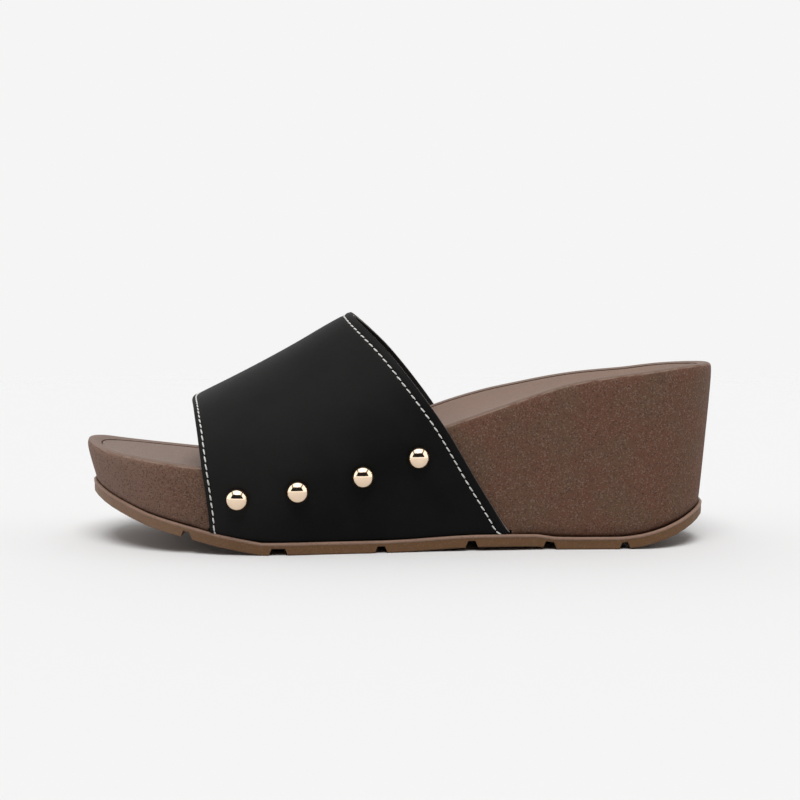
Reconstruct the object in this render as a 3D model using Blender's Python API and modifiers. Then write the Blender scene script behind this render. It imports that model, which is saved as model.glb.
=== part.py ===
"""Wedge mule, a left shoe: a platform wedge with a dished insole and one wide studded strap.

Metres, +Z up. The toe points to -X, the heel to +X, and the outer side of the foot is at -Y.
The shoe stands on Z = 0, centred on the origin.
"""

import math
from collections import namedtuple

import bmesh
import bpy
from mathutils import Vector

MM = 0.001

# Plan of the last at the rim
LENGTH = 262 * MM
BALL_WIDTH = 91 * MM
HEEL_WIDTH = 67.4 * MM
TOE_ROUND = 44 * MM
HEEL_ROUND = 33 * MM

# Heights above the floor
HEEL_RIM = 75 * MM
BALL_RIM = 35 * MM
TOE_RIM = 43.1 * MM
ARCH_SUPPORT = 5 * MM
TOE_SPRING = 21 * MM
HEEL_BEVEL = 13.3 * MM
ARCH_RISE = 1.5 * MM

# Outsole
OUTSOLE_SIDE = 4.6 * MM
OUTSOLE_LIP = 1 * MM
OUTSOLE_BEAD = 1.2 * MM
OUTSOLE_CORNER = 0.5 * MM
GROOVE_DEPTH = 2.6 * MM
GROOVE_SLANT = 1.1 * MM

# Wedge midsole
TOE_FLARE = 4 * MM
HEEL_FLARE = 4.7 * MM
RIM_ROUND = 2.8 * MM
RIM_BAND = 6 * MM
RIM_DROP = 0.8 * MM
WEDGE_CORNER = 0.6 * MM

# Insole
INSOLE_THICKNESS = 2.6 * MM
BALL_DISH = 3.4 * MM
HEEL_DISH = 7 * MM
DISH_POWER = 2.6

# Strap
STRAP_WALL = 2 * MM
STRAP_SETBACK = 58.2 * MM
STRAP_SPAN = 117.6 * MM
FRONT_LEAN = 12.3 * MM
BACK_LEAN = 63.1 * MM
INSTEP_FRONT = 59.5 * MM
INSTEP_BACK = 95.1 * MM
INSTEP_SHIFT = 5 * MM
INSTEP_FULLNESS = 0.92
STRAP_MARGIN = 9 * MM

# Studs
STUD_RADIUS = 4.1 * MM
STUD_DOME = 3.6 * MM
STUD_EDGE = 0.4 * MM
PIN_RADIUS = 1.2 * MM
PIN_DEPTH = 6 * MM

# Clearances
GAP = 0.3 * MM
PIN_CLEARANCE = 0.3 * MM
REBATE_CLEARANCE = 0.9 * MM

# Mesh steps
TOE_STEPS = 10
HEEL_STEPS = 9
MIDDLE_STEPS = 22
DISH_STEPS = 10
TREAD_STEPS = 4
STRAP_LENGTH_STEPS = 16
ARCH_STEPS = 12
STUD_STEPS = 16
DOME_STEPS = 5

LATERAL, MEDIAL = -1, 1

# Outline by share of the length from the heel's back: the centre line's offset as a share of the
# ball width, and the half width as shares of half the heel width and half the ball width.
Plan = namedtuple("Plan", "share centre heel ball")
PLAN = (
    Plan(0.00, 0.000, 1.00, 0.000),
    Plan(0.12, 0.000, 1.00, 0.000),
    Plan(0.22, -0.005, 1.00, 0.000),
    Plan(0.32, -0.025, 0.97, 0.000),
    Plan(0.42, -0.045, 0.88, 0.070),
    Plan(0.50, -0.050, 0.62, 0.310),
    Plan(0.60, -0.033, 0.27, 0.680),
    Plan(0.70, -0.010, 0.03, 0.965),
    Plan(0.78, 0.010, 0.00, 1.000),
    Plan(0.86, 0.033, 0.00, 0.955),
    Plan(0.93, 0.055, 0.00, 0.930),
    Plan(1.00, 0.070, 0.00, 0.920),
)

# Height of the rim's crest above the ball's, as shares of the rises to the heel and to the toe,
# and the inner side's extra height as a share of the arch support.
Crest = namedtuple("Crest", "share heel toe arch")
CREST = (
    Crest(0.00, 1.000, 0.0, -0.20),
    Crest(0.06, 0.975, 0.0, -0.28),
    Crest(0.12, 0.920, 0.0, -0.26),
    Crest(0.18, 0.870, 0.0, -0.12),
    Crest(0.24, 0.800, 0.0, 0.02),
    Crest(0.30, 0.675, 0.0, 0.42),
    Crest(0.36, 0.540, 0.0, 0.85),
    Crest(0.42, 0.405, 0.0, 1.00),
    Crest(0.50, 0.225, 0.0, 0.90),
    Crest(0.58, 0.090, 0.0, 0.60),
    Crest(0.66, 0.025, 0.0, 0.25),
    Crest(0.72, 0.000, 0.0, 0.00),
    Crest(0.78, 0.000, 0.0, -0.20),
    Crest(0.84, 0.000, 0.17, -0.46),
    Crest(0.90, 0.000, 0.42, -0.48),
    Crest(0.96, 0.000, 0.70, -0.34),
    Crest(1.00, 0.000, 1.00, 0.00),
)

# Height of the tread above the floor, as shares of the heel bevel, the arch rise and the toe spring.
Tread = namedtuple("Tread", "share heel arch toe")
TREAD = (
    Tread(0.000, 1.000, 0.0, 0.000),
    Tread(0.035, 0.700, 0.0, 0.000),
    Tread(0.065, 0.440, 0.0, 0.000),
    Tread(0.100, 0.205, 0.0, 0.000),
    Tread(0.135, 0.050, 0.0, 0.000),
    Tread(0.165, 0.000, 0.0, 0.000),
    Tread(0.245, 0.000, 0.0, 0.000),
    Tread(0.300, 0.000, 1.0, 0.000),
    Tread(0.370, 0.000, 1.0, 0.000),
    Tread(0.520, 0.000, 0.0, 0.000),
    Tread(0.700, 0.000, 0.0, 0.000),
    Tread(0.740, 0.000, 0.0, 0.085),
    Tread(0.770, 0.000, 0.0, 0.160),
    Tread(0.800, 0.000, 0.0, 0.245),
    Tread(0.850, 0.000, 0.0, 0.395),
    Tread(0.880, 0.000, 0.0, 0.495),
    Tread(0.910, 0.000, 0.0, 0.625),
    Tread(0.945, 0.000, 0.0, 0.780),
    Tread(0.980, 0.000, 0.0, 0.945),
    Tread(1.000, 0.000, 0.0, 1.000),
)

# Cross grooves between the tread blocks: place as a share of the length, and width at the floor.
Groove = namedtuple("Groove", "share width")
GROOVES = (
    Groove(0.152, 4.4 * MM),
    Groove(0.267, 5.4 * MM),
    Groove(0.387, 5.0 * MM),
    Groove(0.524, 5.0 * MM),
    Groove(0.677, 7.4 * MM),
    Groove(0.816, 4.6 * MM),
)

# Dish of the footbed below the rim, from the ball's depth (0) to the heel's (1).
Dish = namedtuple("Dish", "share heel")
DISH = (
    Dish(0.00, 1.00),
    Dish(0.20, 1.00),
    Dish(0.45, 0.25),
    Dish(0.60, 0.00),
    Dish(1.00, 0.00),
)

# Height of the strap's middle line from its front edge (0) to its back edge (1).
Instep = namedtuple("Instep", "share rise")
INSTEP = (
    Instep(0.000, 0.000),
    Instep(0.080, 0.075),
    Instep(0.366, 0.345),
    Instep(0.650, 0.635),
    Instep(0.936, 0.945),
    Instep(1.000, 1.000),
)

# How far each edge of the strap has leaned, by height from the sole (0) to the instep (1).
Edge = namedtuple("Edge", "share lean")
FRONT_EDGE = (
    Edge(0.00, 0.00),
    Edge(0.15, 0.06),
    Edge(0.45, 0.19),
    Edge(0.60, 0.28),
    Edge(0.75, 0.40),
    Edge(0.88, 0.58),
    Edge(0.96, 0.77),
    Edge(1.00, 1.00),
)
BACK_EDGE = (
    Edge(0.00, 0.00),
    Edge(0.25, 0.21),
    Edge(0.50, 0.41),
    Edge(0.70, 0.61),
    Edge(0.85, 0.78),
    Edge(1.00, 1.00),
)

# Studs along the sole by share of the length, and how far each sits below the rim.
Stud = namedtuple("Stud", "share drop")
STUDS = (
    Stud(0.736, 12.4 * MM),
    Stud(0.647, 10.8 * MM),
    Stud(0.551, 9.3 * MM),
    Stud(0.468, 8.7 * MM),
)


def read(table, column, share):
    """The column's value at a share, on a smooth curve that never overshoots its rows."""
    at = [row.share for row in table]
    value = [getattr(row, column) for row in table]
    share = min(max(share, at[0]), at[-1])
    rise = [(value[i + 1] - value[i]) / (at[i + 1] - at[i]) for i in range(len(at) - 1)]
    slope = [rise[0]]
    for before, after in zip(rise, rise[1:]):
        slope.append(2 * before * after / (before + after) if before * after > 0 else 0.0)
    slope.append(rise[-1])
    k = next(i for i in range(len(rise)) if share <= at[i + 1])
    width = at[k + 1] - at[k]
    t = (share - at[k]) / width
    return (
        value[k] * (1 + 2 * t) * (1 - t) ** 2
        + slope[k] * width * t * (1 - t) ** 2
        + value[k + 1] * t * t * (3 - 2 * t)
        + slope[k + 1] * width * t * t * (t - 1)
    )


def share_at(x):
    """0 at the heel's back, 1 at the toe's tip."""
    return 0.5 - x / LENGTH


def x_at(share):
    return (0.5 - share) * LENGTH


def centre_line(x):
    return read(PLAN, "centre", share_at(x)) * BALL_WIDTH + PLAN_SHIFT


def half_width(x):
    """Half width of the rim's outline, leaving out the round ends."""
    share = share_at(x)
    heel = read(PLAN, "heel", share) * HEEL_WIDTH / 2
    return heel + read(PLAN, "ball", share) * BALL_WIDTH / 2


def crest(x, side):
    """Height of the rim, with side from -1 on the outer edge to 1 on the inner edge."""
    share = share_at(x)
    heel = read(CREST, "heel", share) * (HEEL_RIM - BALL_RIM)
    toe = read(CREST, "toe", share) * (TOE_RIM - BALL_RIM)
    arch = read(CREST, "arch", share) * ARCH_SUPPORT
    return BALL_RIM + heel + toe + arch * (1 + side) / 2


def tread(x):
    """Height of the tread's lowest face above the floor."""
    share = share_at(x)
    heel = read(TREAD, "heel", share) * HEEL_BEVEL
    arch = read(TREAD, "arch", share) * ARCH_RISE
    return heel + arch + read(TREAD, "toe", share) * TOE_SPRING


def outsole_top(x):
    return tread(x) + OUTSOLE_SIDE


def wedge_bottom(x):
    return outsole_top(x) + GAP


def flare(x):
    """How far the wedge's foot stands inside its rim."""
    return HEEL_FLARE + (TOE_FLARE - HEEL_FLARE) * share_at(x)


def wall_top(x, side):
    return crest(x, side) - RIM_ROUND


def wall_inset(x, side, z):
    """How far the wedge's wall stands inside the rim's outline at a height."""
    top, bottom = wall_top(x, side), wedge_bottom(x)
    return flare(x) * (top - z) / (top - bottom)


def dish_depth(x):
    return BALL_DISH + (HEEL_DISH - BALL_DISH) * read(DISH, "heel", share_at(x))


# Outlines are rings of points at the same stations along the shoe. A station is a place on the
# centre line and a reach into a round end: 1 at the heel's back, -1 at the toe's tip, 0 between.
Station = namedtuple("Station", "x reach")


def stations(extra=()):
    heel_centre, toe_centre = LENGTH / 2 - HEEL_ROUND, TOE_ROUND - LENGTH / 2
    quarter = math.pi / 2
    heel = [Station(heel_centre, math.cos(quarter * i / HEEL_STEPS)) for i in range(HEEL_STEPS)]
    toe = [Station(toe_centre, -math.cos(quarter * i / TOE_STEPS)) for i in range(TOE_STEPS)]
    step = (heel_centre - toe_centre) / MIDDLE_STEPS
    middle = [heel_centre - step * i for i in range(MIDDLE_STEPS + 1)]
    clear = [x for x in middle if all(abs(x - other) > step / 4 for other in extra)]
    between = [Station(x, 0.0) for x in sorted(clear + list(extra), reverse=True)]
    return heel + between + toe[::-1]


def across(station):
    """Share of the full width that a station has: 0 at a tip, 1 between the round ends."""
    return math.sqrt(1 - station.reach**2)


def plan_point(station, side, inset):
    """Point of the outline that lies inset inside the rim, on one side of the shoe."""
    round_end = HEEL_ROUND if station.reach > 0 else TOE_ROUND
    x = station.x + (round_end - inset) * station.reach
    y = centre_line(x) + side * (half_width(x) - inset) * across(station)
    return x, y


def ring(bm, line, inset, height):
    """Vertices of one outline: heel's back, outer side, toe's tip, then the inner side back.
    inset(x) and height(x, side) give its place."""
    made = []
    inner = [(station, MEDIAL) for station in line[-2:0:-1]]
    for station, side in [(station, LATERAL) for station in line] + inner:
        x, _ = plan_point(station, side, 0)
        x, y = plan_point(station, side, inset(x))
        made.append(bm.verts.new((x, y, height(x, side * across(station)))))
    return made


def bridge(bm, first, second):
    count = len(first)
    for i in range(count):
        j = (i + 1) % count
        bm.faces.new((first[i], first[j], second[j], second[i]))


def ladder(bm, line, outline, steps, height):
    """Fills an outline with rungs from side to side. height(x, side, rim) gives each point's
    place, where rim is 1 at the outline and falls to 0 in the middle."""
    rungs = []
    last = len(line) - 1
    for k in range(1, last):
        outer, inner = outline[k], outline[-k]
        rung = [outer]
        for j in range(1, steps):
            share = j / steps
            point = outer.co.lerp(inner.co, share)
            side = (2 * share - 1) * across(line[k])
            rim = math.sqrt(min(1.0, side**2 + line[k].reach ** 2))
            rung.append(bm.verts.new((point.x, point.y, height(point.x, side, rim))))
        rungs.append(rung + [inner])
    for tip, rung in ((outline[0], rungs[0]), (outline[last], rungs[-1])):
        for a, b in zip(rung, rung[1:]):
            bm.faces.new((tip, a, b))
    for near, far in zip(rungs, rungs[1:]):
        for j in range(steps):
            bm.faces.new((near[j], near[j + 1], far[j + 1], far[j]))


def material(name, colour, roughness, metallic=0.0):
    made = bpy.data.materials.new(name)
    made.use_nodes = True
    shader = made.node_tree.nodes["Principled BSDF"]
    shader.inputs["Base Color"].default_value = (*colour, 1.0)
    shader.inputs["Roughness"].default_value = roughness
    shader.inputs["Metallic"].default_value = metallic
    made.diffuse_color = (*colour, 1.0)
    return made


def new_object(name, mesh, collection, finish=None, sharp=40):
    made = bpy.data.objects.new(name, mesh)
    collection.objects.link(made)
    if finish:
        mesh.materials.clear()
        mesh.materials.append(finish)
        mesh.shade_smooth()
        mesh.set_sharp_from_angle(angle=math.radians(sharp))
    return made


def finished_mesh(bm, name):
    bmesh.ops.recalc_face_normals(bm, faces=bm.faces)
    mesh = bpy.data.meshes.new(name)
    bm.to_mesh(mesh)
    bm.free()
    return mesh


def strap_foot_x():
    """Front and back of the strap where it meets the sole."""
    front = STRAP_SETBACK - LENGTH / 2
    return front, front + STRAP_SPAN


def outsole_reach(x):
    """How far the outsole's edge stands out of the wedge's foot: a small lip, and flush with the
    strap where the strap comes down to it."""
    front, back = strap_foot_x()
    fade = STRAP_MARGIN
    beyond = max(front - x, x - back, 0.0)
    under = max(0.0, 1 - beyond / fade)
    under = under * under * (3 - 2 * under)
    return OUTSOLE_LIP + (GAP + STRAP_WALL - OUTSOLE_LIP) * under


def groove_corners():
    """Places along the shoe where each groove's flanks start and end, with the height there."""
    corners = {}
    for groove in GROOVES:
        middle = x_at(groove.share)
        for way in (-1, 1):
            corners[middle + way * groove.width / 2] = 0.0
            corners[middle + way * (groove.width / 2 - GROOVE_SLANT)] = GROOVE_DEPTH
    return corners


def outsole(collection):
    corners = groove_corners()
    line = stations(corners)

    def cut(x):
        return next((depth for at, depth in corners.items() if abs(at - x) < GAP / 10), 0.0)

    def base(x, _side=0.0, _rim=0.0):
        return tread(x) + cut(x)

    def edge(x):
        return flare(x) - outsole_reach(x)

    bm = bmesh.new()
    rings = [
        ring(bm, line, lambda x: edge(x) + OUTSOLE_CORNER, base),
        ring(bm, line, edge, lambda x, s: base(x) + OUTSOLE_CORNER),
        ring(bm, line, edge, lambda x, s: outsole_top(x) - OUTSOLE_BEAD / 3),
        ring(bm, line, lambda x: edge(x) + OUTSOLE_BEAD / 3, lambda x, s: outsole_top(x)),
    ]
    for first, second in zip(rings, rings[1:]):
        bridge(bm, first, second)
    ladder(bm, line, rings[0], TREAD_STEPS, base)
    ladder(bm, line, rings[-1], TREAD_STEPS, lambda x, s, r: outsole_top(x))
    rubber = material("outsole rubber", (0.14, 0.075, 0.042), 0.6)
    return new_object("outsole", finished_mesh(bm, "outsole"), collection, rubber, 30)


def footbed(x, side, rim):
    """Top of the insole: level with the rim's inner edge at its outline, dished in the middle."""
    return crest(x, side) - RIM_DROP - dish_depth(x) * (1 - rim**DISH_POWER)


def recess(x, side, rim):
    return footbed(x, side, rim) - INSOLE_THICKNESS - GAP


def wedge_midsole(collection):
    line = stations()
    bend = math.cos(math.pi / 4)
    bm = bmesh.new()
    rings = [
        ring(bm, line, lambda x: flare(x) + WEDGE_CORNER, lambda x, s: wedge_bottom(x)),
        ring(bm, line, flare, lambda x, s: wedge_bottom(x) + WEDGE_CORNER),
        ring(bm, line, lambda x: flare(x) / 2, lambda x, s: (wedge_bottom(x) + wall_top(x, s)) / 2),
        ring(bm, line, lambda x: 0.0, wall_top),
        ring(bm, line, lambda x: RIM_ROUND * (1 - bend), lambda x, s: wall_top(x, s) + RIM_ROUND * bend),
        ring(bm, line, lambda x: RIM_ROUND, crest),
        ring(bm, line, lambda x: RIM_BAND, lambda x, s: footbed(x, s, 1)),
        ring(bm, line, lambda x: RIM_BAND, lambda x, s: recess(x, s, 1)),
    ]
    for first, second in zip(rings, rings[1:]):
        bridge(bm, first, second)
    ladder(bm, line, rings[0], TREAD_STEPS, lambda x, s, r: wedge_bottom(x))
    ladder(bm, line, rings[-1], DISH_STEPS, recess)
    foam = material("wedge foam", (0.105, 0.058, 0.040), 0.75)
    return new_object("wedge_midsole", finished_mesh(bm, "wedge midsole"), collection, foam, 40)


def insole(collection):
    line = stations()
    bm = bmesh.new()
    edge = RIM_BAND + GAP
    top = ring(bm, line, lambda x: edge, lambda x, s: footbed(x, s, 1))
    under = ring(bm, line, lambda x: edge, lambda x, s: footbed(x, s, 1) - INSOLE_THICKNESS)
    bridge(bm, under, top)
    ladder(bm, line, top, DISH_STEPS, footbed)
    ladder(bm, line, under, DISH_STEPS, lambda x, s, r: footbed(x, s, r) - INSOLE_THICKNESS)
    cover = material("insole cover", (0.25, 0.165, 0.125), 0.7)
    return new_object("insole", finished_mesh(bm, "insole"), collection, cover, 40)


def strap_top_x():
    """Front and back of the strap on its middle line."""
    front, back = strap_foot_x()
    return front - FRONT_LEAN, back - BACK_LEAN


def instep(x):
    """Height of the strap's outer face on its middle line. It goes on rising past both edges."""
    front, back = strap_top_x()
    share = (x - front) / (back - front)
    rise = read(INSTEP, "rise", share) if 0 <= share <= 1 else share
    return INSTEP_FRONT + (INSTEP_BACK - INSTEP_FRONT) * rise


def edge_x(table, foot, lean, top, z):
    """Place along the shoe of a strap edge at a height."""
    floor = wedge_bottom(foot)
    return foot - lean * read(table, "lean", (z - floor) / (top - floor))


def front_edge(z):
    return edge_x(FRONT_EDGE, strap_foot_x()[0], FRONT_LEAN, INSTEP_FRONT - STRAP_WALL, z)


def back_edge(z):
    return edge_x(BACK_EDGE, strap_foot_x()[1], BACK_LEAN, INSTEP_BACK - STRAP_WALL, z)


def wall_y(x, side, z, out):
    """A point beside the wedge's wall, out from it."""
    return centre_line(x) + side * (half_width(x) - wall_inset(x, side, z) + out)


def margin_height(x):
    """Height of the upper face of the strap's turned-in margin."""
    return wedge_bottom(x) + GAP + STRAP_WALL


def margin_row(side, share):
    """The turned-in lower margin of the strap, from the wall (0) to its end (1)."""

    def at(x):
        z = margin_height(x)
        return wall_y(x, side, z, GAP) - side * share * (STRAP_MARGIN + GAP), z

    return at


def wall_row(side, share):
    """The part of the strap beside the wedge, from the sole (0) to below the rim (1)."""

    def at(x):
        low = margin_height(x)
        z = low + share * (wall_top(x, side) - low)
        return wall_y(x, side, z, GAP), z

    return at


def arch_row(side, turn):
    """The part of the strap over the foot, from the rim (0) to the middle line (1)."""
    angle = turn * math.pi / 2

    def at(x):
        low, high = wall_top(x, side), instep(x) - STRAP_WALL
        middle = centre_line(x) + INSTEP_SHIFT
        out = wall_y(x, side, low, GAP) - middle
        z = low + (high - low) * math.sin(angle)
        return middle + out * max(math.cos(angle), 0.0) ** INSTEP_FULLNESS, z

    return at


def strap_rows():
    rows = []
    for side in (LATERAL, MEDIAL):
        half = [margin_row(side, share) for share in (1, 0.5)]
        half += [wall_row(side, share) for share in (0, 0.25, 0.5, 0.75)]
        half += [arch_row(side, i / ARCH_STEPS) for i in range(ARCH_STEPS)]
        rows += half if side == LATERAL else [arch_row(side, 1)] + half[::-1]
    return rows


def settle(edge, row):
    """Where a row across the strap meets one of the strap's edges."""
    x = edge(wedge_bottom(0))
    for _ in range(40):
        x = edge(row(x)[1])
    return x


def strap_upper(collection, holes):
    bm = bmesh.new()
    columns = []
    for row in strap_rows():
        front, back = settle(front_edge, row), settle(back_edge, row)
        column = []
        for i in range(STRAP_LENGTH_STEPS + 1):
            x = front + (back - front) * i / STRAP_LENGTH_STEPS
            column.append(bm.verts.new((x, *row(x))))
        columns.append(column)
    for a, b in zip(columns, columns[1:]):
        for i in range(STRAP_LENGTH_STEPS):
            bm.faces.new((a[i], b[i], b[i + 1], a[i + 1]))
    mesh = finished_mesh(bm, "strap")
    leather = material("strap leather", (0.012, 0.012, 0.012), 0.45)
    made = new_object("strap_upper", mesh, collection, leather, 40)
    wall = made.modifiers.new("wall", "SOLIDIFY")
    wall.thickness = STRAP_WALL
    wall.offset = 1 if outward(mesh) else -1
    wall.use_even_offset = True
    cut_with(made, "pin holes", holes)
    return made


def outward(mesh):
    """Whether the strap's faces look away from the foot."""
    top = max(mesh.polygons, key=lambda face: face.center.z)
    return top.normal.z > 0


def cut_with(target, name, cutters):
    cut = target.modifiers.new(name, "BOOLEAN")
    cut.operation = "DIFFERENCE"
    cut.solver = "EXACT"
    if isinstance(cutters, bpy.types.Collection):
        cut.operand_type = "COLLECTION"
        cut.collection = cutters
    else:
        cut.object = cutters


def cutter(name, mesh, collection):
    made = new_object(name, mesh, collection)
    made.hide_render = True
    made.display_type = "WIRE"
    return made


def margin_rebate(side, collection):
    """The room in the wedge's foot for one of the strap's margins."""
    front, back = strap_foot_x()
    low, high = front_edge(margin_height(front)) - REBATE_CLEARANCE, back + REBATE_CLEARANCE
    steps = STRAP_LENGTH_STEPS
    bm = bmesh.new()
    sections = []
    for i in range(steps + 1):
        x = low + (high - low) * i / steps
        z = wedge_bottom(x)
        ceiling = margin_height(x) + GAP
        foot = wall_y(x, side, z, 0)
        outer = foot + side * STRAP_MARGIN
        inner = foot - side * (STRAP_MARGIN + 2 * GAP)
        corners = ((outer, z - STRAP_WALL), (inner, z - STRAP_WALL), (inner, ceiling), (outer, ceiling))
        sections.append([bm.verts.new((x, y, height)) for y, height in corners])
    for a, b in zip(sections, sections[1:]):
        bridge(bm, a, b)
    bm.faces.new(sections[0])
    bm.faces.new(sections[-1])
    name = "margin rebate " + ("outer" if side == LATERAL else "inner")
    return cutter(name, finished_mesh(bm, name), collection)


def stud_seat(stud, side):
    """Centre of the stud's flat back and the direction that its dome faces."""
    x = x_at(stud.share)
    z = crest(x, side) - stud.drop
    out = GAP + STRAP_WALL + GAP
    step = STUD_RADIUS / 2
    seat = Vector((x, wall_y(x, side, z, out), z))
    along = Vector((step, wall_y(x + step, side, z, out) - seat.y, 0))
    up = Vector((0, wall_y(x, side, z + step, out) - seat.y, step))
    facing = along.cross(up).normalized()
    return seat, facing if facing.y * side > 0 else -facing


def stud_mesh():
    """A dome head on a pin, turned about +Z, with the head's flat back at Z = 0."""
    bm = bmesh.new()
    quarter = math.pi / 2
    profile = []
    for i in range(DOME_STEPS + 1):
        angle = quarter * i / DOME_STEPS
        height = STUD_EDGE + (STUD_DOME - STUD_EDGE) * math.cos(angle)
        profile.append((STUD_RADIUS * math.sin(angle), height))
    depth = STRAP_WALL + 2 * GAP + PIN_DEPTH
    profile += [(STUD_RADIUS, 0), (PIN_RADIUS, 0), (PIN_RADIUS, -depth), (0, -depth)]
    points = [bm.verts.new((r, 0, z)) for r, z in profile]
    for a, b in zip(points, points[1:]):
        bm.edges.new((a, b))
    mesh = bpy.data.meshes.new("stud")
    bm.to_mesh(mesh)
    bm.free()
    return mesh


def stud_hole_mesh():
    bm = bmesh.new()
    deep = STRAP_WALL + 2 * GAP + PIN_DEPTH + PIN_CLEARANCE
    bmesh.ops.create_cone(
        bm,
        cap_ends=True,
        segments=STUD_STEPS,
        radius1=PIN_RADIUS + PIN_CLEARANCE,
        radius2=PIN_RADIUS + PIN_CLEARANCE,
        depth=deep + STUD_RADIUS,
    )
    bmesh.ops.translate(bm, verts=bm.verts, vec=(0, 0, (STUD_RADIUS - deep) / 2))
    return finished_mesh(bm, "pin hole")


def studs(collection, hole_collection):
    head, hole = stud_mesh(), stud_hole_mesh()
    gold = material("stud metal", (0.83, 0.62, 0.42), 0.18, 1.0)
    for side, side_name in ((LATERAL, "lateral"), (MEDIAL, "medial")):
        for number, stud in enumerate(STUDS, 1):
            seat, facing = stud_seat(stud, side)
            turn = facing.to_track_quat("Z", "Y").to_euler()
            made = new_object(f"stud_{side_name}_{number}", head.copy(), collection, gold, 40)
            screw = made.modifiers.new("turned", "SCREW")
            screw.steps = screw.render_steps = STUD_STEPS
            screw.use_merge_vertices = True
            screw.merge_threshold = 0.00001
            room = cutter(f"pin hole {side_name} {number}", hole, hole_collection)
            for placed in (made, room):
                placed.location = seat
                placed.rotation_euler = turn


def plan_shift():
    """Moves the plan sideways so that the shoe, studs and all, is centred on the origin."""
    reach = {}
    for side in (LATERAL, MEDIAL):
        tips = [seat + facing * STUD_DOME for seat, facing in (stud_seat(s, side) for s in STUDS)]
        reach[side] = max(side * tip.y for tip in tips)
    return (reach[LATERAL] - reach[MEDIAL]) / 2


def main():
    global PLAN_SHIFT
    PLAN_SHIFT = 0.0
    PLAN_SHIFT = plan_shift()
    for old in list(bpy.data.objects):
        bpy.data.objects.remove(old, do_unlink=True)
    shoe = bpy.data.collections.new("Wedge mule")
    cutters = bpy.data.collections.new("Cutters")
    holes = bpy.data.collections.new("Pin holes")
    bpy.context.scene.collection.children.link(shoe)
    bpy.context.scene.collection.children.link(cutters)
    cutters.children.link(holes)
    outsole(shoe)
    wedge = wedge_midsole(shoe)
    for side in (LATERAL, MEDIAL):
        cut_with(wedge, "margin rebate", margin_rebate(side, cutters))
    cut_with(wedge, "pin holes", holes)
    insole(shoe)
    strap_upper(shoe, holes)
    studs(shoe, holes)


main()
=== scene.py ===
"""Looks of the wedge mule, laid out as an add-on and run as a script.

Each operator makes one piece, or one group of like pieces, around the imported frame. Metres, +Z up,
toe to -X, outer side of the foot to -Y.
"""

import bisect
import math

import bmesh
import bpy
import numpy as np
from bpy.props import FloatProperty, FloatVectorProperty, IntProperty, PointerProperty
from mathutils import Matrix, Vector
from mathutils.bvhtree import BVHTree
from mathutils.kdtree import KDTree


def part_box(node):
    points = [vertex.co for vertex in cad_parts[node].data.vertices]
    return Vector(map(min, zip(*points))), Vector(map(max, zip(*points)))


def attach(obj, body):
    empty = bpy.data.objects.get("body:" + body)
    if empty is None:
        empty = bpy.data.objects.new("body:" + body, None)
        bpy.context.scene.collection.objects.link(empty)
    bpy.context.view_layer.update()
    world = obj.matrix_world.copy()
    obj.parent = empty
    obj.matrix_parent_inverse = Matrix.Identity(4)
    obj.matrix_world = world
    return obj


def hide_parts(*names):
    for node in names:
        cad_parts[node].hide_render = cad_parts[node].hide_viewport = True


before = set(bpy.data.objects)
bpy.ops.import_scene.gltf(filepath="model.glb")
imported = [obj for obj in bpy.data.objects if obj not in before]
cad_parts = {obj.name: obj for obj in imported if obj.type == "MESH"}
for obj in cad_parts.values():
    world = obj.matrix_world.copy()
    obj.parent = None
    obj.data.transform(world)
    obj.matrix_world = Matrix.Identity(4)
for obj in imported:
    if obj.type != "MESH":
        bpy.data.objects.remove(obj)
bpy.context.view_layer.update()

bl_info = {
    "name": "Wedge Mule Finish",
    "version": (1, 0, 0),
    "blender": (4, 5, 0),
    "location": "View3D > Sidebar > Mule",
    "description": "Makes the wedge, insole, outsole, studded strap, stitches and studio of a wedge mule",
    "category": "Object",
}

MM = 0.001
OUTER, INNER = -1, 1
FRONT, BACK = -1, 1
STUD_NODES = [f"stud_{side}_{k}" for side in ("lateral", "medial") for k in range(1, 5)]

FLOOR_SIDES = 96

# Copies of the frame's nodes, and how finely they are rounded
MERGE = 0.01 * MM
QUAD_BEND = math.radians(40)
QUAD_SHAPE = math.radians(60)
SHARP = math.radians(50)
SOFT_LEVELS = 2

# How squarely a face looks one way, to tell faces apart
FACING_OUT = 0.65
FACING_END = 0.5
FACING_UP = 0.7
FACING_DOWN = -0.7
UPRIGHT = 0.5

# The outsole's edges
RIM_TURN = 0.6
BEVEL_FROM = math.radians(40)
BEAD_LIFT = 0.05

# Where the strap's borders are looked for
ROUND_START = math.pi / 2
AXIS_HEIGHT = 0.2
FAR = 120 * MM
LOW_EDGE = 16 * MM
ALONG_EDGE = 0.7
COLUMN_GAP = 3.5 * MM
STUD_REACH = 8 * MM
PIN_RIM = 2.2 * MM
END_SHARE = 0.01
CORNER_REACH = (1.3 * MM, 0, -0.3 * MM)

# The strap's sheets, with columns in mm from the front and back edges
FRONT_COLUMNS = (0, 0.6, 1.2, 1.8, 2.3, 2.9, 3.7, 5.2)
BACK_COLUMNS = (0, 0.7, 1.6, 2.6, 3.5, 4.3, 5.1, 6.1, 8.0)
MIDDLE_COLUMNS = 10
STRAP_ROWS = 46
FOOT_DROP = 0.5 * MM
LINING_GAP = 0.05 * MM
ROLL_PLACE = 0.5
ROLL_WIDTH = 0.35
FAINT = 0.01

# Seams and threads, where a thread's dip and lift are shares of its thickness
SEAM_STEP = 4 * MM
SEAM_REACH = 1.5 * MM
THREAD_SIDES = 10
THREAD_RINGS = 8
THREAD_BLUNTNESS = 0.6
THREAD_DIP = 0.42
THREAD_LIFT = 0.3

# The nick in the foam
NICK = (-76.4 * MM, -40.6 * MM, 14.5 * MM)
NICK_SIZE = (0.35 * MM, 3 * MM, 0.9 * MM)
NICK_LEAN = math.radians(-22)


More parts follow.
